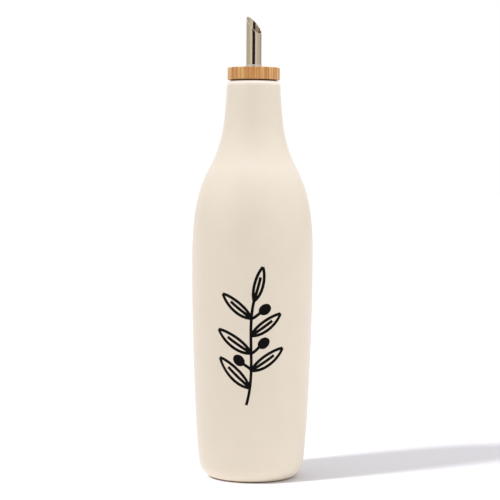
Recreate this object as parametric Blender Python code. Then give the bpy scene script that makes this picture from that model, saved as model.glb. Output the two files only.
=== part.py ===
"""Ceramic oil dispenser: a glazed stoneware bottle, shut by a bamboo collar that carries a slant-cut steel tube.

Metres, +Z up. The origin is the centre of the foot, on the surface that the bottle stands on, and the front
faces -Y. The bottle is opaque and shut, so it is one solid body of ceramic, with nothing made up inside it.
"""

import math

import bmesh
import bpy

MM = 0.001

# Driving sizes, in millimetres
GAP = 0.3                       # clear space between two pieces that touch
BELLY_RADIUS = 37.45
BELLY_HEIGHT = 132.0
LIP_HEIGHT = 245.3
COLLAR_RADIUS = 16.12
COLLAR_THICKNESS = 7.45
TUBE_RADIUS = 4.69
TUBE_WALL = 0.5
TIP_HEIGHT = 285.2              # the whole height, from the foot to the point of the tube

# The foot: a ring that touches the table, a shallow recess inside it and a round edge outside it
FOOT_OUTER = 21.9
FOOT_INNER = 17.0
RECESS_DEPTH = 1.2
FOOT_ROUND = 10.4               # radius of the round edge under the wall

# The wall's outline: (height, radius, slope), where slope is how fast the radius grows with height
WALL_LEAN = 0.13
WALL = (
    (FOOT_ROUND * (1 - math.sin(math.atan(WALL_LEAN))), FOOT_OUTER + FOOT_ROUND * math.cos(math.atan(WALL_LEAN)),
     WALL_LEAN),
    (60.0, 35.7, 0.047),
    (BELLY_HEIGHT, BELLY_RADIUS, 0.0),
    (192.0, 26.82, -0.542),
    (219.0, 18.33, -0.132),
    (243.1, 16.45, -0.06),
)
WALL_STEPS = (6, 6, 14, 7, 4)   # rings in each stretch, closest where the shoulder turns
LIP_ROUND = 2.2

# The seal under the collar, which shows as a dark line
SEAL_RADIUS = 14.2
SEAL_THICKNESS = 1.0
SEAL_EDGE = 0.15
COLLAR_RISE = 0.7               # height of the collar's underside above the lip

COLLAR_EDGE = 0.5               # radius of the collar's rounded rims

# The bead where the tube leaves the collar: a short upright foot, and a shoulder that slopes in to the tube
BEAD_RADIUS = 5.05
BEAD_FOOT = 0.6
BEAD_HEIGHT = 1.7

# The slanting mouth of the tube
CUT_SLOPE = math.radians(50.4)  # of the cut, from the horizontal
CUT_TURN = math.radians(53.6)   # the cut's low side, turned from the front towards +X

BODY_SIDES = 64
FITTING_SIDES = 48

seal_bottom = LIP_HEIGHT + GAP
seal_top = seal_bottom + SEAL_THICKNESS
collar_bottom = LIP_HEIGHT + COLLAR_RISE
collar_top = collar_bottom + COLLAR_THICKNESS
tube_bottom = seal_top + GAP
bead_bottom = collar_top + GAP
cut_centre = TIP_HEIGHT - TUBE_RADIUS * math.tan(CUT_SLOPE)


def clear_scene():
    for old in list(bpy.data.objects):
        bpy.data.objects.remove(old)


def material(name, colour, roughness, metallic=0.0):
    made = bpy.data.materials.new(name)
    made.use_nodes = True
    shader = made.node_tree.nodes["Principled BSDF"]
    shader.inputs["Base Color"].default_value = (*colour, 1.0)
    shader.inputs["Roughness"].default_value = roughness
    shader.inputs["Metallic"].default_value = metallic
    return made


def arc(centre_radius, centre_height, size, start_deg, end_deg, steps):
    """Points of a round stretch of an outline, as (radius, height). Angle 0 points outwards and 90 up."""
    points = []
    for i in range(steps + 1):
        angle = math.radians(start_deg + (end_deg - start_deg) * i / steps)
        points.append((centre_radius + size * math.cos(angle), centre_height + size * math.sin(angle)))
    return points


def wall_points():
    """The wall from the foot's round edge to the lip, as a smooth cubic through the stations of WALL."""
    points = []
    for (z0, r0, s0), (z1, r1, s1), steps in zip(WALL[:-1], WALL[1:], WALL_STEPS):
        rise = z1 - z0
        for i in range(steps):
            t = i / steps
            radius = (
                (2 * t**3 - 3 * t**2 + 1) * r0
                + (t**3 - 2 * t**2 + t) * rise * s0
                + (3 * t**2 - 2 * t**3) * r1
                + (t**3 - t**2) * rise * s1
            )
            points.append((radius, z0 + rise * t))
    return points


def turned(name, outline, sides, finish, ring=False):
    """A turned solid about Z from an outline of (radius, height) in mm. A ring's outline closes on itself."""
    bm = bmesh.new()
    verts = [bm.verts.new((radius * MM, 0.0, height * MM)) for radius, height in outline]
    pairs = list(zip(verts[:-1], verts[1:]))
    if ring:
        pairs.append((verts[-1], verts[0]))
    edges = [bm.edges.new(pair) for pair in pairs]
    bmesh.ops.spin(bm, geom=verts + edges, cent=(0, 0, 0), axis=(0, 0, 1), angle=2 * math.pi, steps=sides)
    bmesh.ops.remove_doubles(bm, verts=bm.verts, dist=1e-7)
    bmesh.ops.recalc_face_normals(bm, faces=bm.faces)
    mesh = bpy.data.meshes.new(name)
    bm.to_mesh(mesh)
    bm.free()
    mesh.shade_smooth()
    mesh.set_sharp_from_angle(angle=math.radians(35))
    mesh.materials.append(finish)
    made = bpy.data.objects.new(name, mesh)
    bpy.context.scene.collection.objects.link(made)
    return made


def make_bottle(finish):
    """The bottle: foot ring, long body that swells to the belly, shoulder, neck and round lip, shut at the top."""
    lean_deg = math.degrees(math.atan(WALL_LEAN))
    outline = [(0.0, RECESS_DEPTH)]
    outline += arc(FOOT_INNER - RECESS_DEPTH, 0.0, RECESS_DEPTH, 90, 0, 4)
    outline += arc(FOOT_OUTER, FOOT_ROUND, FOOT_ROUND, -90, -lean_deg, 8)[:-1]
    outline += wall_points()
    outline += arc(WALL[-1][1] - LIP_ROUND, LIP_HEIGHT - LIP_ROUND, LIP_ROUND, 0, 90, 5)
    outline += [(0.0, LIP_HEIGHT)]
    return turned("bottle", outline, BODY_SIDES, finish)


def make_seal(finish):
    """The seal's disc, which the collar presses on the lip."""
    outline = [(0.0, 0.0)]
    outline += arc(SEAL_RADIUS - SEAL_EDGE, SEAL_EDGE, SEAL_EDGE, -90, 0, 1)
    outline += arc(SEAL_RADIUS - SEAL_EDGE, SEAL_THICKNESS - SEAL_EDGE, SEAL_EDGE, 0, 90, 1)
    outline += [(0.0, SEAL_THICKNESS)]
    made = turned("seal", outline, FITTING_SIDES, finish)
    made.location.z = seal_bottom * MM
    return made


def make_collar(finish):
    """The bamboo collar: a disc with rounded rims, a hole for the tube and a recess underneath for the seal."""
    hole = TUBE_RADIUS + GAP
    recess = SEAL_RADIUS + GAP
    recess_top = seal_top + GAP - collar_bottom
    inside = COLLAR_RADIUS - COLLAR_EDGE
    outline = [(hole, recess_top), (recess, recess_top), (recess, 0.0)]
    outline += arc(inside, COLLAR_EDGE, COLLAR_EDGE, -90, 0, 3)
    outline += arc(inside, COLLAR_THICKNESS - COLLAR_EDGE, COLLAR_EDGE, 0, 90, 3)
    outline += [(hole, COLLAR_THICKNESS)]
    made = turned("collar", outline, FITTING_SIDES, finish, ring=True)
    made.location.z = collar_bottom * MM
    return made


def make_spout(finish):
    """The steel tube with its bead, cut off at a slant. Its foot stands just clear of the seal, inside the collar."""
    inside = TUBE_RADIUS - TUBE_WALL
    bead_start = bead_bottom - tube_bottom
    blank = TIP_HEIGHT + 2.0 - tube_bottom      # before the cut, a little longer than the finished tube
    outline = [(inside, 0.0), (TUBE_RADIUS, 0.0), (TUBE_RADIUS, bead_start), (BEAD_RADIUS, bead_start)]
    outline += [(BEAD_RADIUS, bead_start + BEAD_FOOT), (TUBE_RADIUS, bead_start + BEAD_HEIGHT)]
    outline += [(TUBE_RADIUS, blank), (inside, blank)]
    made = turned("spout", outline, FITTING_SIDES, finish, ring=True)
    made.location.z = tube_bottom * MM

    block = 40.0
    cutter_mesh = bpy.data.meshes.new("mouth_cutter")
    bm = bmesh.new()
    bmesh.ops.create_cube(bm, size=block * MM)
    bmesh.ops.translate(bm, vec=(0, 0, block / 2 * MM), verts=bm.verts)
    bm.to_mesh(cutter_mesh)
    bm.free()
    cutter = bpy.data.objects.new("mouth_cutter", cutter_mesh)
    bpy.context.scene.collection.objects.link(cutter)
    cutter.location.z = cut_centre * MM
    cutter.rotation_euler = (CUT_SLOPE, 0.0, CUT_TURN)
    cutter.hide_render = True
    cutter.display_type = "WIRE"

    cut = made.modifiers.new("slanting mouth", "BOOLEAN")
    cut.operation = "DIFFERENCE"
    cut.object = cutter
    return made


clear_scene()
glaze = material("matt glazed stoneware", (0.76, 0.68, 0.57), 0.42)
rubber = material("dark silicone", (0.035, 0.02, 0.012), 0.6)
bamboo = material("bamboo", (0.53, 0.28, 0.10), 0.5)
steel = material("polished stainless steel", (0.60, 0.57, 0.53), 0.12, metallic=1.0)
make_bottle(glaze)
make_seal(rubber)
make_collar(bamboo)
make_spout(steel)
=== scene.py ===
"""The looks of a ceramic oil dispenser: a glazed bottle with a bamboo collar and a slant-cut steel tube.

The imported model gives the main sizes. All four of its solids are turned on an axis, so one Geometry Nodes
tree makes them from their outlines. A second tree draws a leafy sprig and lays it on the bottle as raised
enamel.
"""

import math

import bpy
from mathutils import Matrix, Vector


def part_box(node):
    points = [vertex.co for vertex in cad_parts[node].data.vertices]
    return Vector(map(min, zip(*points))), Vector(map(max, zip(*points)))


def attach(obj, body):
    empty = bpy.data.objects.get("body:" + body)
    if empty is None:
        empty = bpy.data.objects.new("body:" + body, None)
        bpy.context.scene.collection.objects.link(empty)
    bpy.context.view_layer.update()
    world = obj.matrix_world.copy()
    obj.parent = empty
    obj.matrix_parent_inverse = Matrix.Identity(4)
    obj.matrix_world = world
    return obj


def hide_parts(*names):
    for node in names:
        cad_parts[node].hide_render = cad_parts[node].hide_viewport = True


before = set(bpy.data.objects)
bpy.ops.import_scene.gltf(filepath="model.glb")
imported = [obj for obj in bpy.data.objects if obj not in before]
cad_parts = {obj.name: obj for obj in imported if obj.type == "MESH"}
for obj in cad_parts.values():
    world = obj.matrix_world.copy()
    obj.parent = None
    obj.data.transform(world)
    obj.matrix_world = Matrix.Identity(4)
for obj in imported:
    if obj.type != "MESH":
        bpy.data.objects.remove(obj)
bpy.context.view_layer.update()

MM = 0.001
GAP = 0.3 * MM                      # clear space that the solids keep between touching pieces

pot_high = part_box("bottle")[1]
seal_low, seal_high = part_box("seal")
collar_low, collar_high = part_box("collar")
spout_low, spout_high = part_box("spout")

# The bottle, whose wall passes through stations of (height, radius, growth of the radius with height)
POT_TALL = pot_high.z
POT_WIDE = pot_high.x               # radius of the belly
FOOT_OUTER = 21.9 * MM
FOOT_INNER = 17.0 * MM
FOOT_ROUND = 10.4 * MM              # radius of the round edge under the wall
FOOT_EASE = 0.3 * MM                # radius of the foot ring's inner edge
RECESS = 1.2 * MM                   # depth of the hollow inside the foot ring
LIP_ROUND = 2.2 * MM
WALL_LEAN = 0.13                    # growth of the radius where the wall leaves the round edge
STATIONS = (
    (60.0 * MM, 35.7 * MM, 0.047),
    (132.0 * MM, POT_WIDE, 0.0),
    (192.0 * MM, 26.82 * MM, -0.542),
    (219.0 * MM, 18.33 * MM, -0.132),
    (POT_TALL - LIP_ROUND, 16.45 * MM, -0.06),
)

# The fittings
SEAL_EDGE = 0.3 * MM
TUBE_OUTER = 4.69 * MM
TUBE_WALL = 0.5 * MM
BEAD_TALL = 1.55 * MM
BEAD_FOOT = 0.8 * MM                # its upright part, below the slope that runs in to the tube
BEAD_EDGE = 0.15 * MM
RIM_ROUND = 0.14 * MM               # the ground edge of the tube's mouth
COLLAR_EDGE = 0.5 * MM
COLLAR_LOW_EDGE = 0.25 * MM
HOLE_EDGE = 0.2 * MM                # the eased edges of the collar's hole and recess
CUT_SLOPE = math.radians(50.4)      # of the mouth, from the horizontal
CUT_TURN = math.radians(53.6)       # the mouth's low side, turned from the front towards +X
CUT_REACH = 10 * MM                 # height of tube, below the mouth's middle, that takes up the slant

# The drawn sprig
SPRIG_FOOT = 49.0 * MM              # height of the stem's lower end
SPRIG_TALL = 83.0 * MM
LEAF_LONG = 26.0 * MM
FRUIT_LONG = 9.6 * MM
LINE_WIDE = 1.8 * MM
LINE_PROUD = 0.10 * MM

# The camera, fitted to the photograph's perspective
FRAME_PIXELS = 500
FOCAL_PIXELS = 1700
SENSOR = 36.0
CAMERA_BACK = 1053.2 * MM
CAMERA_HIGH = 190.0 * MM
CAMERA_LEFT = 1.58 * MM
CAMERA_DOWN = math.radians(2.667)
CAMERA_ROLL = math.radians(0.38)

# The studio, in metres
FLAG_FAR = 1.6
CARD_FAR = 2.0
CARD_LOW = 0.1
CARD_HIGH = 0.9


def linear(hex_colour):
    """An sRGB hex colour as the linear numbers that shaders take."""
    parts = [int(hex_colour[i : i + 2], 16) / 255 for i in (0, 2, 4)]
    return [c / 12.92 if c <= 0.04045 else ((c + 0.055) / 1.055) ** 2.4 for c in parts] + [1.0]


def add(tree, kind, inputs=None, **settings):
    """Adds a node. An input, by name or number, gets a value, an output, or another node's first output."""
    made = tree.nodes.new(kind)
    for name, value in settings.items():
        setattr(made, name, value)
    for key, value in (inputs or {}).items():
        if isinstance(value, bpy.types.Node):
            value = value.outputs[0]
        if isinstance(value, bpy.types.NodeSocket):
            tree.links.new(value, made.inputs[key])
        else:
            made.inputs[key].default_value = value
    return made


def show(made):
    """Puts a new object in the scene."""
    bpy.context.scene.collection.objects.link(made)
    return made


# Trees of Geometry Nodes


def new_tree(name, sockets):
    """An empty tree with the named inputs. Returns it with the sockets of its input and output nodes."""
    tree = bpy.data.node_groups.new(name, "GeometryNodeTree")
    tree.interface.new_socket("Geometry", in_out="INPUT", socket_type="NodeSocketGeometry")
    tree.interface.new_socket("Geometry", in_out="OUTPUT", socket_type="NodeSocketGeometry")
    for label, kind in sockets.items():
        tree.interface.new_socket(label, in_out="INPUT", socket_type="NodeSocket" + kind)
    given = tree.nodes.new("NodeGroupInput").outputs
    result = tree.nodes.new("NodeGroupOutput").inputs
    return tree, given, result


def grow(source, tree, name, values):
    """Runs a tree on an object and keeps the result as a plain mesh piece of that name, at the origin."""
    modifier = source.modifiers.new(tree.name, "NODES")
    modifier.node_group = tree
    for item in tree.interface.items_tree:
        if item.in_out == "INPUT" and item.name in values:
            modifier[item.identifier] = values[item.name]
    graph = bpy.context.evaluated_depsgraph_get()
    mesh = bpy.data.meshes.new_from_object(source.evaluated_get(graph), depsgraph=graph)
    mesh.name = name
    bpy.data.objects.remove(source)
    return show(bpy.data.objects.new(name, mesh))


def turning_tree():
    """Turns an upright outline about Z into a closed solid, and can cut the solid's top at a slant."""
    tree, given, result = new_tree(
        "turned_on_an_axis",
        {
            "Sides": "Int",
            "Unevenness": "Float",
            "Uneven Patch": "Float",
            "Seed": "Float",
            "Slant": "Float",
            "Slant Turn": "Float",
            "Slant Starts": "Float",
            "Slant Ends": "Float",
            "Finish": "Material",
        },
    )
    # The outline is swept round a small circle and moved in by its radius, so that both share one axis
    hub = 1.0 * MM
    wheel = add(tree, "GeometryNodeCurvePrimitiveCircle", {"Resolution": given["Sides"], "Radius": hub})
    laid = add(
        tree,
        "GeometryNodeTransform",
        {"Geometry": given["Geometry"], "Translation": (-hub, 0, 0), "Rotation": (math.radians(90), 0, 0)},
    )
    swept = add(tree, "GeometryNodeCurveToMesh", {"Curve": wheel, "Profile Curve": laid})
    closed = add(tree, "GeometryNodeMergeByDistance", {"Geometry": swept, "Distance": 0.001 * MM})
    outward = add(tree, "GeometryNodeFlipFaces", {"Mesh": closed})

    # Hand-made unevenness: the wall wanders in and out by a hair
    place = add(tree, "GeometryNodeInputPosition")
    flat = add(tree, "ShaderNodeVectorMath", {0: place, 1: (1, 1, 0)}, operation="MULTIPLY")
    away = add(tree, "ShaderNodeVectorMath", {0: flat}, operation="NORMALIZE")
    patches = add(tree, "ShaderNodeMath", {0: 1.0, 1: given["Uneven Patch"]}, operation="DIVIDE")
    wander = add(
        tree,
        "ShaderNodeTexNoise",
        {"Vector": place, "W": given["Seed"], "Scale": patches, "Detail": 1.0},
        noise_dimensions="4D",
    )
    centred = add(tree, "ShaderNodeMath", {0: wander.outputs["Fac"], 1: 0.5}, operation="SUBTRACT")
    amount = add(tree, "ShaderNodeMath", {0: centred, 1: given["Unevenness"]}, operation="MULTIPLY")
    shift = add(tree, "ShaderNodeVectorMath", {0: away, "Scale": amount}, operation="SCALE")

    # The slant: points between two heights are lowered on one side and raised on the other
    parts = add(tree, "ShaderNodeSeparateXYZ", {0: place})
    sine = add(tree, "ShaderNodeMath", {0: given["Slant Turn"]}, operation="SINE")
    cosine = add(tree, "ShaderNodeMath", {0: given["Slant Turn"]}, operation="COSINE")
    across = add(tree, "ShaderNodeMath", {0: parts.outputs["X"], 1: sine}, operation="MULTIPLY")
    along = add(tree, "ShaderNodeMath", {0: parts.outputs["Y"], 1: cosine}, operation="MULTIPLY")
    towards = add(tree, "ShaderNodeMath", {0: along, 1: across}, operation="SUBTRACT")
    share = add(
        tree,
        "ShaderNodeMapRange",
        {"Value": parts.outputs["Z"], "From Min": given["Slant Starts"], "From Max": given["Slant Ends"]},
    )
    steep = add(tree, "ShaderNodeMath", {0: towards, 1: given["Slant"]}, operation="MULTIPLY")
    lift = add(tree, "ShaderNodeMath", {0: steep, 1: share}, operation="MULTIPLY")
    raised = add(tree, "ShaderNodeCombineXYZ", {"Z": lift})
    moved = add(tree, "ShaderNodeVectorMath", {0: shift, 1: raised}, operation="ADD")
    shaped = add(tree, "GeometryNodeSetPosition", {"Geometry": outward, "Offset": moved})

    # Smooth faces, with a crisp line where two meet at more than this angle
    crisp_over = math.radians(33)
    smooth = add(tree, "GeometryNodeSetShadeSmooth", {"Geometry": shaped})
    corner = add(tree, "GeometryNodeInputMeshEdgeAngle")
    sharp = add(tree, "ShaderNodeMath", {0: corner, 1: crisp_over}, operation="GREATER_THAN")
    crisp = add(
        tree,
        "GeometryNodeSetShadeSmooth",
        {"Geometry": smooth, "Selection": sharp, "Shade Smooth": False},
        domain="EDGE",
    )
    real = add(tree, "GeometryNodeRealizeInstances", {"Geometry": crisp})
    finished = add(tree, "GeometryNodeSetMaterial", {"Geometry": real, "Material": given["Finish"]})
    tree.links.new(finished.outputs[0], result["Geometry"])
    return tree


# The turning tree's inputs for a piece that is turned true and cut level
TRUE_AND_LEVEL = {
    "Unevenness": 0.0,
    "Uneven Patch": 10 * MM,
    "Seed": 0.0,
    "Slant": 0.0,
    "Slant Turn": 0.0,
    "Slant Starts": 1.0,
    "Slant Ends": 2.0,
}


def sprig_tree():
    """Sets leaves and fruits along a flat stem, gives each line its width, and lays all on the bottle."""
    tree, given, result = new_tree(
        "sprig_on_the_wall",
        {
            "Nodes": "Int",
            "Bare Stem": "Float",
            "Leaf Long": "Float",
            "Leaf Opens": "Float",
            "Tip Shrink": "Float",
            "Fruit Long": "Float",
            "Fruit Opens": "Float",
            "Line Half": "Float",
            "Rib Share": "Float",
            "Line Proud": "Float",
            "Line Step": "Float",
            "Seed": "Int",
            "Wall Radius": "Float",
            "Foot": "Float",
            "Bottle": "Object",
            "Finish": "Material",
        },
    )
    # Places along the stem, and which side each is on
    limb = add(tree, "GeometryNodeTrimCurve", {"Curve": given["Geometry"], 2: given["Bare Stem"], 3: 1.0})
    places = add(tree, "GeometryNodeCurveToPoints", {"Curve": limb, "Count": given["Nodes"]})
    index = add(tree, "GeometryNodeInputIndex")
    last = add(tree, "ShaderNodeMath", {0: given["Nodes"], 1: 1.0}, operation="SUBTRACT")
    odd = add(tree, "ShaderNodeMath", {0: index, 1: 2.0}, operation="MODULO")
    side = add(tree, "ShaderNodeMath", {0: odd, 1: -2.0, 2: 1.0}, operation="MULTIPLY_ADD")
    before_last = add(tree, "ShaderNodeMath", {0: index, 1: last}, operation="LESS_THAN")
    upward = add(tree, "ShaderNodeMath", {0: index, 1: last}, operation="DIVIDE")
    tangent = add(tree, "ShaderNodeSeparateXYZ", {0: places.outputs["Tangent"]})
    heading = add(
        tree,
        "ShaderNodeMath",
        {0: tangent.outputs["Y"], 1: tangent.outputs["X"]},
        operation="ARCTAN2",
    )

    # The lines of a leaf and a stalk of unit length, as (points, first handle, second handle, end)
    root = (0, 0, 0)
    unit_lines = []
    for points, first, second, end in (
        (24, (0.22, 0.20, 0), (0.72, 0.19, 0), (1, 0.02, 0)),
        (24, (0.30, -0.16, 0), (0.80, -0.10, 0), (1, 0.02, 0)),
        (16, (0.2, 0.01, 0), (0.5, 0.03, 0), (0.70, 0.022, 0)),
        (12, (0.1, -0.08, 0), (0.4, -0.04, 0), (0.7, 0, 0)),
    ):
        run = {"Resolution": points, "Start": root, "Start Handle": first, "End Handle": second, "End": end}
        unit_lines.append(add(tree, "GeometryNodeCurvePrimitiveBezierSegment", run))
    edge_a, edge_b, midrib, stalk = unit_lines

    # A leaf: two edges and a thinner midrib. All but the last open to the sides in turn
    thin_rib = add(tree, "GeometryNodeSetCurveRadius", {"Curve": midrib, "Radius": given["Rib Share"]})
    leaf = add(tree, "GeometryNodeJoinGeometry")
    for line in (edge_a, edge_b, thin_rib):
        tree.links.new(line.outputs[0], leaf.inputs[0])
    opens = add(tree, "ShaderNodeMath", {0: side, 1: given["Leaf Opens"]}, operation="MULTIPLY")
    opens_here = add(tree, "ShaderNodeMath", {0: opens, 1: before_last}, operation="MULTIPLY")
    leaf_turn = add(tree, "ShaderNodeMath", {0: heading, 1: opens_here}, operation="ADD")
    leaf_euler = add(tree, "ShaderNodeCombineXYZ", {"Z": leaf_turn})
    leaf_spin = add(tree, "FunctionNodeEulerToRotation", {0: leaf_euler})
    shrink = add(
        tree,
        "ShaderNodeMath",
        {0: upward, 1: given["Tip Shrink"], 2: 1.0},
        operation="MULTIPLY_ADD",
    )
    luck = add(tree, "FunctionNodeRandomValue", {2: 0.95, 3: 1.05, "Seed": given["Seed"]}, data_type="FLOAT")
    lucky = add(tree, "ShaderNodeMath", {0: shrink, 1: luck.outputs[1]}, operation="MULTIPLY")
    long = add(tree, "ShaderNodeMath", {0: lucky, 1: given["Leaf Long"]}, operation="MULTIPLY")
    mirrored = add(tree, "ShaderNodeMath", {0: long, 1: side}, operation="MULTIPLY")
    leaf_size = add(tree, "ShaderNodeCombineXYZ", {"X": long, "Y": mirrored, "Z": long})
    leaves = add(
        tree,
        "GeometryNodeInstanceOnPoints",
        {"Points": places.outputs["Points"], "Instance": leaf, "Rotation": leaf_spin, "Scale": leaf_size},
    )

    # A fruit on its stalk, across from two leaves in three
    thin_stalk = add(tree, "GeometryNodeSetCurveRadius", {"Curve": stalk, "Radius": given["Rib Share"]})
    ball = add(tree, "GeometryNodeMeshUVSphere", {"Segments": 28, "Rings": 12, "Radius": 0.5})
    fruit = add(
        tree,
        "GeometryNodeTransform",
        {"Geometry": ball, "Translation": (1.02, 0, 0), "Scale": (0.86, 0.66, 0.0)},
    )
    fruit_on_stalk = add(tree, "GeometryNodeJoinGeometry")
    for part in (thin_stalk, fruit):
        tree.links.new(part.outputs[0], fruit_on_stalk.inputs[0])
    third = add(tree, "ShaderNodeMath", {0: index, 1: 3.0}, operation="MODULO")
    bears = add(tree, "ShaderNodeMath", {0: third, 1: 0.5}, operation="GREATER_THAN")
    bears_here = add(tree, "ShaderNodeMath", {0: bears, 1: before_last}, operation="MULTIPLY")
    fruit_opens = add(tree, "ShaderNodeMath", {0: side, 1: given["Fruit Opens"]}, operation="MULTIPLY")
    fruit_turn = add(tree, "ShaderNodeMath", {0: heading, 1: fruit_opens}, operation="SUBTRACT")
    fruit_euler = add(tree, "ShaderNodeCombineXYZ", {"Z": fruit_turn})
    fruit_spin = add(tree, "FunctionNodeEulerToRotation", {0: fruit_euler})
    fruits_set = add(
        tree,
        "GeometryNodeInstanceOnPoints",
        {
            "Points": places.outputs["Points"],
            "Selection": bears_here,
            "Instance": fruit_on_stalk,
            "Rotation": fruit_spin,
            "Scale": given["Fruit Long"],
        },
    )

    # Lines: every curve swept with a flat oval, round at both ends and pressed now more, now less
    swells = 180.0          # in a metre of line, so about one in 6 mm
    drawn = add(tree, "GeometryNodeJoinGeometry")
    for part in (given["Geometry"], leaves.outputs[0], fruits_set.outputs[0]):
        tree.links.new(part, drawn.inputs[0])
    real = add(tree, "GeometryNodeRealizeInstances", {"Geometry": drawn})
    split = add(tree, "GeometryNodeSeparateComponents", {0: real})
    stepped = add(
        tree,
        "GeometryNodeResampleCurve",
        {"Curve": split.outputs["Curve"], "Length": given["Line Step"]},
        mode="LENGTH",
    )
    upright = add(tree, "GeometryNodeSetCurveNormal", {"Curve": stepped}, mode="Z_UP")
    spot = add(tree, "GeometryNodeSplineParameter")
    whole = add(tree, "GeometryNodeSplineLength")
    rest = add(tree, "ShaderNodeMath", {0: whole, 1: spot.outputs["Length"]}, operation="SUBTRACT")
    near = add(tree, "ShaderNodeMath", {0: spot.outputs["Length"], 1: rest}, operation="MINIMUM")
    nearness = add(
        tree,
        "ShaderNodeMath",
        {0: near, 1: given["Line Half"]},
        operation="DIVIDE",
        use_clamp=True,
    )
    other = add(tree, "ShaderNodeMath", {0: 2.0, 1: nearness}, operation="SUBTRACT")
    product = add(tree, "ShaderNodeMath", {0: nearness, 1: other}, operation="MULTIPLY")
    end_round = add(tree, "ShaderNodeMath", {0: product}, operation="SQRT")
    wobble = add(tree, "ShaderNodeTexNoise", {"Scale": swells, "Detail": 0.0})
    pressure = add(
        tree,
        "ShaderNodeMath",
        {0: wobble.outputs["Fac"], 1: 0.3, 2: 0.85},
        operation="MULTIPLY_ADD",
    )
    thickness = add(tree, "GeometryNodeInputRadius")
    pressed = add(tree, "ShaderNodeMath", {0: thickness, 1: pressure}, operation="MULTIPLY")
    width = add(tree, "ShaderNodeMath", {0: end_round, 1: pressed}, operation="MULTIPLY")
    weighted = add(tree, "GeometryNodeSetCurveRadius", {"Curve": upright, "Radius": width})
    round_nib = add(tree, "GeometryNodeCurvePrimitiveCircle", {"Resolution": 10, "Radius": 1.0})
    nib_size = add(
        tree,
        "ShaderNodeCombineXYZ",
        {"X": given["Line Half"], "Y": given["Line Proud"], "Z": 1.0},
    )
    nib = add(tree, "GeometryNodeTransform", {"Geometry": round_nib, "Scale": nib_size})
    lines = add(tree, "GeometryNodeCurveToMesh", {"Curve": weighted, "Profile Curve": nib})
    sealed = add(tree, "GeometryNodeMergeByDistance", {"Geometry": lines, "Distance": 0.002 * MM})

    # Fruits stand as proud as the lines, domed
    facing = add(tree, "GeometryNodeInputNormal")
    facing_parts = add(tree, "ShaderNodeSeparateXYZ", {0: facing})
    dome = add(
        tree,
        "ShaderNodeMath",
        {0: facing_parts.outputs["Z"], 1: given["Line Proud"]},
        operation="MULTIPLY",
    )
    dome_lift = add(tree, "ShaderNodeCombineXYZ", {"Z": dome})
    fruits = add(tree, "GeometryNodeSetPosition", {"Geometry": split.outputs["Mesh"], "Offset": dome_lift})
    flat = add(tree, "GeometryNodeJoinGeometry")
    for part in (sealed, fruits):
        tree.links.new(part.outputs[0], flat.inputs[0])

    # The wall: a flat point's x becomes a turn round the axis, y a height and z a distance out from the wall
    place = add(tree, "GeometryNodeInputPosition")
    parts = add(tree, "ShaderNodeSeparateXYZ", {0: place})
    turn = add(tree, "ShaderNodeMath", {0: parts.outputs["X"], 1: given["Wall Radius"]}, operation="DIVIDE")
    sine = add(tree, "ShaderNodeMath", {0: turn}, operation="SINE")
    cosine = add(tree, "ShaderNodeMath", {0: turn}, operation="COSINE")
    back = add(tree, "ShaderNodeMath", {0: cosine, 1: -1.0}, operation="MULTIPLY")
    outward = add(tree, "ShaderNodeCombineXYZ", {"X": sine, "Y": back})
    height = add(tree, "ShaderNodeMath", {0: parts.outputs["Y"], 1: given["Foot"]}, operation="ADD")
    axis_point = add(tree, "ShaderNodeCombineXYZ", {"Z": height})
    pot = add(tree, "GeometryNodeObjectInfo", {"Object": given["Bottle"]})
    ray = add(
        tree,
        "GeometryNodeRaycast",
        {
            "Target Geometry": pot.outputs["Geometry"],
            "Source Position": axis_point,
            "Ray Direction": outward,
            "Ray Length": 1.0,
        },
    )
    reach = add(
        tree,
        "ShaderNodeMath",
        {0: ray.outputs["Hit Distance"], 1: parts.outputs["Z"]},
        operation="ADD",
    )
    radial = add(tree, "ShaderNodeVectorMath", {0: outward, "Scale": reach}, operation="SCALE")
    on_wall = add(tree, "ShaderNodeVectorMath", {0: radial, 1: axis_point}, operation="ADD")
    wrapped = add(tree, "GeometryNodeSetPosition", {"Geometry": flat, "Position": on_wall})
    smooth = add(tree, "GeometryNodeSetShadeSmooth", {"Geometry": wrapped})
    plain = add(tree, "GeometryNodeRealizeInstances", {"Geometry": smooth})
    finished = add(tree, "GeometryNodeSetMaterial", {"Geometry": plain, "Material": given["Finish"]})
    tree.links.new(finished.outputs[0], result["Geometry"])
    return tree


# Outlines, as (radius, height) with the two handles of each curved run


def straight(start, end):
    """A straight run, with its handles a third of the way along."""
    third = [(s + (e - s) / 3) for s, e in zip(start, end)]
    two_thirds = [(e - (e - s) / 3) for s, e in zip(start, end)]
    return [third, two_thirds, end]


def bend(centre, radius, start, end):
    """A round run about a centre. Angles are in degrees: 0 points outward and 90 up."""
    a, b = math.radians(start), math.radians(end)
    pull = 4 / 3 * math.tan((b - a) / 4) * radius
    near = (centre[0] + radius * math.cos(a), centre[1] + radius * math.sin(a))
    far = (centre[0] + radius * math.cos(b), centre[1] + radius * math.sin(b))
    return [
        (near[0] - pull * math.sin(a), near[1] + pull * math.cos(a)),
        (far[0] + pull * math.sin(b), far[1] - pull * math.cos(b)),
        far,
    ]


def swell(low, high):
    """A wall between two stations of (height, radius, growth), as a smooth cubic."""
    third = (high[0] - low[0]) / 3
    return [
        (low[1] + low[2] * third, low[0] + third),
        (high[1] - high[2] * third, high[0] - third),
        (high[1], high[0]),
    ]


def chain(start, *moves):
    """Joins runs end to end. A point is a straight run there, and a list is a run already made."""
    runs = []
    for move in moves:
        if isinstance(move, tuple):
            move = straight(start, move)
        runs.append(move)
        start = move[2]
    return runs


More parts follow.
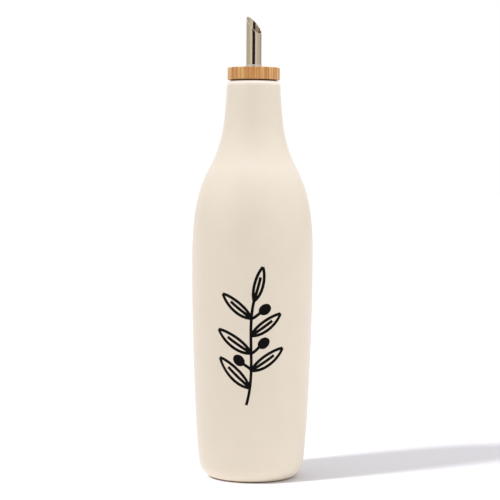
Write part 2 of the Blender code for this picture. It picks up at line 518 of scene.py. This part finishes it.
def free_curve(name, steps, points):
    """A Bezier curve of points (place, handle before, handle after). Returns its object and its spline."""
    curve = bpy.data.curves.new(name, "CURVE")
    curve.dimensions = "3D"
    curve.resolution_u = steps
    spline = curve.splines.new("BEZIER")
    spline.bezier_points.add(len(points) - 1)
    for point, (place, before, after) in zip(spline.bezier_points, points):
        point.handle_left_type = point.handle_right_type = "FREE"
        point.co = place
        point.handle_left = before
        point.handle_right = after
    return show(bpy.data.objects.new(name, curve)), spline


def outline(name, start, runs, steps, closed=False):
    """The curve through the runs, upright, with the axis of turning on Z. Closed, it ends where it starts."""
    ends = [start] + [run[2] for run in runs]
    points = []
    for i in range(len(runs) + (0 if closed else 1)):
        before = runs[i - 1][1] if i or closed else start
        after = runs[i][0] if i < len(runs) else ends[i]
        points.append([(radius, 0, height) for radius, height in (ends[i], before, after)])
    drawn, spline = free_curve(name, steps, points)
    spline.use_cyclic_u = closed
    return drawn


# Finishes


def new_finish(name, colour, roughness, metallic=0.0, **more):
    """A material named for what it is. Returns it with its tree, its shader and Object coordinates in mm."""
    made = bpy.data.materials.new(name)
    made.use_nodes = True
    tree = made.node_tree
    shader = tree.nodes["Principled BSDF"]
    shader.inputs["Base Color"].default_value = linear(colour)
    shader.inputs["Roughness"].default_value = roughness
    shader.inputs["Metallic"].default_value = metallic
    for socket, value in more.items():
        shader.inputs[socket.replace("_", " ")].default_value = value
    where = add(tree, "ShaderNodeTexCoord")
    per_mm = (1 / MM, 1 / MM, 1 / MM)
    mm = add(tree, "ShaderNodeMapping", {"Vector": where.outputs["Object"], "Scale": per_mm})
    return made, tree, shader, mm


def satin_glaze():
    """Slip-cast stoneware under a satin magnesia glaze: a warm white that clouds faintly and shines softly.

    The lip is painted paler as a painted highlight over its round, and the ring that the bottle stands on is
    wiped bare.
    """
    cloud_wide = 22.0       # mm, where the glaze lies thicker and thinner
    grain_wide = 0.9        # mm, pores and grains of the body, coarser than real so that they show
    peel_wide = 1.6         # mm, the waves of the glaze's skin
    bare_below = 1.3        # mm above the table
    lip_from = (POT_TALL - LIP_ROUND) / MM
    made, tree, shader, mm = new_finish("satin_glazed_stoneware", "DED3C2", 0.38, IOR=1.5)
    cloud = add(tree, "ShaderNodeTexNoise", {"Vector": mm, "Scale": 1 / cloud_wide, "Detail": 3.0})
    grain = add(tree, "ShaderNodeTexNoise", {"Vector": mm, "Scale": 1 / grain_wide, "Detail": 2.0})
    peel = add(tree, "ShaderNodeTexNoise", {"Vector": mm, "Scale": 1 / peel_wide, "Detail": 1.0})
    clouded = add(
        tree,
        "ShaderNodeMix",
        {0: cloud.outputs["Fac"], 6: linear("DACFBB"), 7: linear("E1D6C4")},
        data_type="RGBA",
    )
    grain_share = add(
        tree,
        "ShaderNodeMapRange",
        {"Value": grain.outputs["Fac"], "From Min": 0.55, "From Max": 0.8, "To Max": 0.35},
    )
    grained = add(
        tree,
        "ShaderNodeMix",
        {0: grain_share, 6: clouded.outputs[2], 7: linear("D5C7B2")},
        data_type="RGBA",
    )
    parts = add(tree, "ShaderNodeSeparateXYZ", {0: mm})
    bare = add(
        tree,
        "ShaderNodeMapRange",
        {"Value": parts.outputs["Z"], "From Min": bare_below, "From Max": bare_below - 0.4},
    )
    footed = add(
        tree,
        "ShaderNodeMix",
        {0: bare, 6: grained.outputs[2], 7: linear("CEBBA1")},
        data_type="RGBA",
    )
    # Painted highlight: the glaze turns paler over the lip's round to stand in for the shine on it
    painted_lip_highlight = add(
        tree,
        "ShaderNodeMapRange",
        {"Value": parts.outputs["Z"], "From Min": lip_from - 1.2, "From Max": lip_from + 1.5},
    )
    with_painted_lip_highlight = add(
        tree,
        "ShaderNodeMix",
        {0: painted_lip_highlight, 6: footed.outputs[2], 7: linear("F6EEE0")},
        data_type="RGBA",
    )
    tree.links.new(with_painted_lip_highlight.outputs[2], shader.inputs["Base Color"])
    shine = add(
        tree,
        "ShaderNodeMapRange",
        {"Value": cloud.outputs["Fac"], "From Min": 0.3, "From Max": 0.7, "To Min": 0.34, "To Max": 0.42},
    )
    dull = add(tree, "ShaderNodeMix", {0: bare, 2: shine.outputs[0], 3: 0.85})
    tree.links.new(dull.outputs[0], shader.inputs["Roughness"])
    relief = add(
        tree,
        "ShaderNodeBump",
        {"Strength": 0.6, "Distance": 0.02 * MM, "Height": peel.outputs["Fac"]},
    )
    tree.links.new(relief.outputs[0], shader.inputs["Normal"])
    return made


def bamboo():
    """Laminated bamboo, cut across the cane and lacquered: upright strands that end as dots on top."""
    board_wide = 3.0        # mm, bands of paler and darker cane
    fibre_wide = 0.85       # mm, fibre strands, nearly twice as coarse as real so that they show
    upright = 60.0          # mm, the height over which a band or a strand changes
    endless = 200.0         # mm, so far that the dots on top run straight down
    made, tree, shader, mm = new_finish("lacquered_bamboo", "C08A4B", 0.42, IOR=1.5)
    streaks = []
    for wide in (board_wide, fibre_wide):
        at = add(tree, "ShaderNodeMapping", {"Vector": mm, "Scale": (1 / wide, 1 / wide, 1 / upright)})
        streaks.append(
            add(tree, "ShaderNodeTexNoise", {"Vector": at, "Scale": 1.0, "Detail": 2.0, "Roughness": 0.6})
        )
    broad, fine = streaks
    dots_at = add(
        tree,
        "ShaderNodeMapping",
        {"Vector": mm, "Scale": (1 / fibre_wide, 1 / fibre_wide, 1 / endless)},
    )
    dots = add(tree, "ShaderNodeTexVoronoi", {"Vector": dots_at, "Scale": 1.0, "Randomness": 0.85})
    broad_share = add(
        tree,
        "ShaderNodeMapRange",
        {"Value": broad.outputs["Fac"], "From Min": 0.3, "From Max": 0.7},
    )
    banded = add(
        tree,
        "ShaderNodeMix",
        {0: broad_share, 6: linear("BE8342"), 7: linear("E0B06A")},
        data_type="RGBA",
    )
    fine_share = add(
        tree,
        "ShaderNodeMapRange",
        {"Value": fine.outputs["Fac"], "From Min": 0.46, "From Max": 0.62, "To Max": 0.75},
    )
    streaked = add(
        tree,
        "ShaderNodeMix",
        {0: fine_share, 6: banded.outputs[2], 7: linear("9A5626")},
        data_type="RGBA",
    )
    dot_share = add(
        tree,
        "ShaderNodeMapRange",
        {"Value": dots.outputs["Distance"], "From Min": 0.3, "From Max": 0.12, "To Max": 0.55},
    )
    dotted = add(
        tree,
        "ShaderNodeMix",
        {0: dot_share, 6: streaked.outputs[2], 7: linear("8A4A20")},
        data_type="RGBA",
    )
    tree.links.new(dotted.outputs[2], shader.inputs["Base Color"])
    gloss = add(
        tree,
        "ShaderNodeMapRange",
        {"Value": fine.outputs["Fac"], "To Min": 0.36, "To Max": 0.5},
    )
    tree.links.new(gloss.outputs[0], shader.inputs["Roughness"])
    relief = add(
        tree,
        "ShaderNodeBump",
        {"Strength": 0.5, "Distance": 0.03 * MM, "Height": fine.outputs["Fac"]},
    )
    tree.links.new(relief.outputs[0], shader.inputs["Normal"])
    return made


def polished_steel():
    """Stainless steel tube, drawn and polished: a clear, warm shine with faint marks along its length."""
    mark_wide = 0.35        # mm, several times as coarse as real polishing marks, so that they show
    mark_long = 14.0        # mm
    made, tree, shader, mm = new_finish(
        "polished_stainless_steel", "CBC4B8", 0.08, metallic=1.0, Specular_Tint=linear("D2C8B8")
    )
    marks_at = add(
        tree,
        "ShaderNodeMapping",
        {"Vector": mm, "Scale": (1 / mark_wide, 1 / mark_wide, 1 / mark_long)},
    )
    marks = add(tree, "ShaderNodeTexNoise", {"Vector": marks_at, "Scale": 1.0, "Detail": 3.0})
    gloss = add(
        tree,
        "ShaderNodeMapRange",
        {"Value": marks.outputs["Fac"], "To Min": 0.05, "To Max": 0.13},
    )
    tree.links.new(gloss.outputs[0], shader.inputs["Roughness"])
    relief = add(
        tree,
        "ShaderNodeBump",
        {"Strength": 0.25, "Distance": 0.002 * MM, "Height": marks.outputs["Fac"]},
    )
    tree.links.new(relief.outputs[0], shader.inputs["Normal"])
    return made


def silicone():
    """Moulded silicone, dull and a little dusty. Its warm dark brown is partly painted shade: it gives the
    shadowed gap under the collar its brown.
    """
    dust_wide = 0.7         # mm, coarser than real dust so that it shows
    # Painted shade: the silicone's brown is darkened and warmed to stand in for the shaded gap under the
    # collar
    made, tree, shader, mm = new_finish("silicone_with_painted_gap_shade", "54300F", 0.6, IOR=1.42)
    dust = add(tree, "ShaderNodeTexNoise", {"Vector": mm, "Scale": 1 / dust_wide, "Detail": 3.0})
    tone = add(
        tree,
        "ShaderNodeMix",
        {0: dust.outputs["Fac"], 6: linear("4A2409"), 7: linear("6A3B12")},
        data_type="RGBA",
    )
    tree.links.new(tone.outputs[2], shader.inputs["Base Color"])
    relief = add(
        tree,
        "ShaderNodeBump",
        {"Strength": 0.4, "Distance": 0.02 * MM, "Height": dust.outputs["Fac"]},
    )
    tree.links.new(relief.outputs[0], shader.inputs["Normal"])
    return made


def black_enamel():
    """Fired black enamel, screen-printed on the glaze: a dense matt black with a faint grain."""
    grain_wide = 0.5        # mm, coarser than the real print's grain so that it shows
    made, tree, shader, mm = new_finish("fired_black_enamel", "0C0A09", 0.7, IOR=1.5, Specular_IOR_Level=0.06)
    grain = add(tree, "ShaderNodeTexNoise", {"Vector": mm, "Scale": 1 / grain_wide, "Detail": 2.0})
    tone = add(
        tree,
        "ShaderNodeMix",
        {0: grain.outputs["Fac"], 6: linear("070606"), 7: linear("110F0E")},
        data_type="RGBA",
    )
    tree.links.new(tone.outputs[2], shader.inputs["Base Color"])
    relief = add(
        tree,
        "ShaderNodeBump",
        {"Strength": 0.5, "Distance": 0.01 * MM, "Height": grain.outputs["Fac"]},
    )
    tree.links.new(relief.outputs[0], shader.inputs["Normal"])
    return made


# Pieces


def settle(piece, node):
    """Hands a piece to the frame: it rides on the one body, and stands for the solid that is named."""
    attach(piece, "root")
    if node:
        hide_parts(node)
    return piece


def make_bottle(tree, finish):
    """The bottle: foot ring, swelling wall, shoulder, neck and round lip, shut at the top like its solid."""
    lean = math.degrees(math.atan(WALL_LEAN))
    foot = bend((FOOT_OUTER, FOOT_ROUND), FOOT_ROUND, -90, -lean)
    low = (foot[2][1], foot[2][0], WALL_LEAN)
    walls = [swell(a, b) for a, b in zip((low,) + STATIONS[:-1], STATIONS)]
    lip_at = (STATIONS[-1][1] - LIP_ROUND, POT_TALL - LIP_ROUND)
    start = (0.0, RECESS)
    runs = chain(
        start,
        (FOOT_INNER - RECESS, RECESS),
        bend((FOOT_INNER - RECESS, FOOT_EASE), RECESS - FOOT_EASE, 90, 0),
        bend((FOOT_INNER, FOOT_EASE), FOOT_EASE, 180, 270),
        (FOOT_OUTER, 0.0),
        foot,
        *walls,
        bend(lip_at, LIP_ROUND, 0, 90),
        (0.0, POT_TALL),
    )
    drawn = outline("bottle_outline", start, runs, steps=20)
    uneven = {"Unevenness": 0.16 * MM, "Uneven Patch": 45 * MM, "Seed": 3.0}
    return grow(drawn, tree, "glazed_bottle", {**TRUE_AND_LEVEL, **uneven, "Sides": 160, "Finish": finish})


def make_seal(tree, finish):
    """The seal's disc, with a soft moulded edge."""
    wide, low, high = seal_high.x, seal_low.z, seal_high.z
    inside = wide - SEAL_EDGE
    start = (0.0, low)
    runs = chain(
        start,
        (inside, low),
        bend((inside, low + SEAL_EDGE), SEAL_EDGE, -90, 0),
        (wide, high - SEAL_EDGE),
        bend((inside, high - SEAL_EDGE), SEAL_EDGE, 0, 90),
        (0.0, high),
    )
    drawn = outline("seal_outline", start, runs, steps=6)
    return grow(drawn, tree, "silicone_seal", {**TRUE_AND_LEVEL, "Sides": 96, "Finish": finish})


def make_collar(tree, finish):
    """The bamboo collar, with eased rims, the hole for the tube and the recess that takes the seal."""
    wide, low, high = collar_high.x, collar_low.z, collar_high.z
    hole = TUBE_OUTER + GAP
    recess = seal_high.x + GAP
    recess_top = seal_high.z + GAP
    start = (hole, recess_top)
    runs = chain(
        start,
        (recess, recess_top),
        (recess, low + HOLE_EDGE),
        bend((recess + HOLE_EDGE, low + HOLE_EDGE), HOLE_EDGE, 180, 270),
        (wide - COLLAR_LOW_EDGE, low),
        bend((wide - COLLAR_LOW_EDGE, low + COLLAR_LOW_EDGE), COLLAR_LOW_EDGE, -90, 0),
        (wide, high - COLLAR_EDGE),
        bend((wide - COLLAR_EDGE, high - COLLAR_EDGE), COLLAR_EDGE, 0, 90),
        (hole + HOLE_EDGE, high),
        bend((hole + HOLE_EDGE, high - HOLE_EDGE), HOLE_EDGE, 90, 180),
        (hole, recess_top),
    )
    drawn = outline("collar_outline", start, runs, steps=8, closed=True)
    return grow(drawn, tree, "bamboo_collar", {**TRUE_AND_LEVEL, "Sides": 160, "Finish": finish})


def make_spout(tree, finish):
    """The steel tube: a bead at its foot, a thin wall and a slanting mouth with a ground rim."""
    inner = TUBE_OUTER - TUBE_WALL
    low = spout_low.z
    rim_high = spout_high.z - TUBE_OUTER * math.tan(CUT_SLOPE)
    slant_from = rim_high - CUT_REACH
    bead_low = collar_high.z + GAP
    bead_high = bead_low + BEAD_TALL
    bead_wide = spout_high.x
    start = (inner, low)
    runs = chain(
        start,
        (TUBE_OUTER, low),
        (TUBE_OUTER, bead_low),
        (bead_wide - BEAD_EDGE, bead_low),
        bend((bead_wide - BEAD_EDGE, bead_low + BEAD_EDGE), BEAD_EDGE, -90, 0),
        (bead_wide, bead_low + BEAD_FOOT),
        (TUBE_OUTER, bead_high),
        (TUBE_OUTER, bead_high + BEAD_EDGE),
        (TUBE_OUTER, slant_from),
        (TUBE_OUTER, rim_high - RIM_ROUND),
        bend((TUBE_OUTER - RIM_ROUND, rim_high - RIM_ROUND), RIM_ROUND, 0, 90),
        (inner + RIM_ROUND, rim_high),
        bend((inner + RIM_ROUND, rim_high - RIM_ROUND), RIM_ROUND, 90, 180),
        (inner, slant_from),
        (inner, low),
    )
    drawn = outline("spout_outline", start, runs, steps=6, closed=True)
    slanting = {
        "Slant": math.tan(CUT_SLOPE),
        "Slant Turn": CUT_TURN,
        "Slant Starts": slant_from,
        "Slant Ends": rim_high,
    }
    return grow(drawn, tree, "steel_spout", {**TRUE_AND_LEVEL, **slanting, "Sides": 144, "Finish": finish})


def make_sprig(tree, finish, bottle):
    """The line drawing on the front: an upright leafy sprig in raised black enamel."""
    foot = (-3.5 * MM, 0, 0)
    foot_pull = (3.0 * MM, 20 * MM, 0)
    tip = (1.0 * MM, SPRIG_TALL - 20 * MM, 0)       # the last leaf stands on it and takes the rest
    tip_pull = (-3.5 * MM, 44 * MM, 0)
    stem = free_curve("stem", 40, [(foot, foot, foot_pull), (tip, tip_pull, tip)])[0]
    return grow(
        stem,
        tree,
        "enamel_sprig",
        {
            "Nodes": 6,
            "Bare Stem": 0.17,
            "Leaf Long": LEAF_LONG,
            "Leaf Opens": math.radians(54),
            "Tip Shrink": -0.16,
            "Fruit Long": FRUIT_LONG,
            "Fruit Opens": math.radians(53),
            "Line Half": LINE_WIDE / 2,
            "Rib Share": 0.72,
            "Line Proud": LINE_PROUD,
            "Line Step": 0.3 * MM,
            "Seed": 4,
            "Wall Radius": POT_WIDE,
            "Foot": SPRIG_FOOT,
            "Bottle": bottle,
            "Finish": finish,
        },
    )


# Camera and studio


def make_camera():
    """The camera, at the photograph's place and angle, and with its slight roll."""
    lens = bpy.data.cameras.new("camera")
    lens.sensor_width = SENSOR
    lens.lens = SENSOR * FOCAL_PIXELS / FRAME_PIXELS
    camera = show(bpy.data.objects.new("camera", lens))
    pitch = Matrix.Rotation(math.radians(90) - CAMERA_DOWN, 4, "X")
    roll = Matrix.Rotation(CAMERA_ROLL, 4, "Z")
    place = Matrix.Translation((-CAMERA_LEFT, -CAMERA_BACK, CAMERA_HIGH))
    camera.matrix_world = place @ pitch @ roll
    bpy.context.scene.camera = camera


def make_floor():
    """A plain pale floor, wide enough to meet the white of the room at the horizon."""
    mesh = bpy.data.meshes.new("floor")
    half = 12.0
    corners = [(-half, -half, 0), (half, -half, 0), (half, half, 0), (-half, half, 0)]
    mesh.from_pydata(corners, [], [(0, 1, 2, 3)])
    mesh.materials.append(new_finish("pale_paper_sweep", "DEDCE1", 0.9)[0])
    floor = show(bpy.data.objects.new("floor", mesh))
    return floor


def make_card(name, colour, middle_turn, half_turn, far, diffuse=False):
    """A curved card round the object, seen in its shine but not by the camera. Turn 0 is the front."""
    steps = 12
    verts, faces = [], []
    for i in range(steps + 1):
        turn = math.radians(middle_turn - half_turn + 2 * half_turn * i / steps)
        x, y = far * math.sin(turn), -far * math.cos(turn)
        verts += [(x, y, CARD_LOW), (x, y, CARD_HIGH)]
    for i in range(steps):
        faces.append((2 * i, 2 * i + 2, 2 * i + 3, 2 * i + 1))
    mesh = bpy.data.meshes.new(name)
    mesh.from_pydata(verts, [], faces)
    made = bpy.data.materials.new(name)
    made.use_nodes = True
    tree = made.node_tree
    glow = add(tree, "ShaderNodeEmission", {"Color": linear(colour), "Strength": 1.0})
    tree.links.new(glow.outputs[0], tree.nodes["Material Output"].inputs["Surface"])
    mesh.materials.append(made)
    card = show(bpy.data.objects.new(name, mesh))
    card.visible_camera = False
    card.visible_shadow = False
    card.visible_diffuse = diffuse


def make_lamp(name, kind, energy, place, aim, lit, sheen=False, **settings):
    """A lamp that lights only the objects in lit. As a sheen it shows in their gloss and nowhere else."""
    data = bpy.data.lights.new(name, kind)
    data.energy = energy
    for key, value in settings.items():
        setattr(data, key, value)
    lamp = show(bpy.data.objects.new(name, data))
    lamp.location = place
    lamp.rotation_euler = (Vector(aim) - Vector(place)).to_track_quat("-Z", "Y").to_euler()
    lamp.visible_camera = False
    lamp.visible_diffuse = not sheen
    receivers = bpy.data.collections.new(name + "_lights")
    for thing in lit:
        receivers.objects.link(thing)
    lamp.light_linking.receiver_collection = receivers


def make_studio(pieces, bottle):
    """White all round, a dark flag behind the camera, tinted cards at the sides and soft boxes above."""
    world = bpy.data.worlds.new("white_room")
    bpy.context.scene.world = world
    world.use_nodes = True
    world.node_tree.nodes["Background"].inputs["Color"].default_value = (1, 1, 1, 1)
    world.node_tree.nodes["Background"].inputs["Strength"].default_value = 1.0
    bpy.context.scene.view_settings.view_transform = "Standard"
    floor = make_floor()

    # The flag darkens the middle of the wall and draws the dark stripe down the tube
    make_card("dark_flag", "3A2A21", -2.9, 22.7, FLAG_FAR, diffuse=True)
    for name, colour, middle_turn, half_turn in (
        ("cream_card", "F8F3E3", -46, 16),
        ("khaki_card", "DCD6BC", -96, 34),
        ("rose_card", "FFF0E5", 35, 12),
        ("blush_card", "E9DCCD", 72, 25),
        ("grey_card", "CFCABD", 122, 25),
    ):
        make_card(name, colour, middle_turn, half_turn, CARD_FAR)

    # A cool soft box overhead and two weak sheens give the shoulder its soft band
    make_lamp(
        "overhead_box", "AREA", 5.05, (0.03, -0.08, 1.1), (0, 0, 0.2), pieces,
        shape="SQUARE", size=0.36, color=(0.98, 0.99, 1.15),
    )
    for name, energy, across in (("left_sheen", 1.1, -0.72), ("right_sheen", 0.5, 0.72)):
        make_lamp(
            name, "AREA", energy, (across, -0.2, 0.8), (0, 0, 0.19), [bottle],
            sheen=True, shape="SQUARE", size=0.9,
        )

    # What the bright table throws up under the foot
    make_lamp(
        "table_glow", "AREA", 0.021, (0.055, 0, 0.0005), (0.055, 0, 1), pieces,
        shape="DISK", size=0.24,
    )

    # A window to the left and a little to the front, which draws the shadow on the floor
    far, turn, rise = 3.0, math.radians(31), math.radians(42)
    window_at = (-far * math.cos(turn), -far * math.sin(turn), far * math.tan(rise))
    make_lamp("window", "SUN", 3.1, window_at, (0, 0, 0), [floor], angle=math.radians(8))


turning = turning_tree()
bottle = settle(make_bottle(turning, satin_glaze()), "bottle")
seal = settle(make_seal(turning, silicone()), "seal")
collar = settle(make_collar(turning, bamboo()), "collar")
spout = settle(make_spout(turning, polished_steel()), "spout")
sprig = settle(make_sprig(sprig_tree(), black_enamel(), bottle), None)
make_camera()
make_studio([bottle, seal, collar, spout, sprig], bottle)
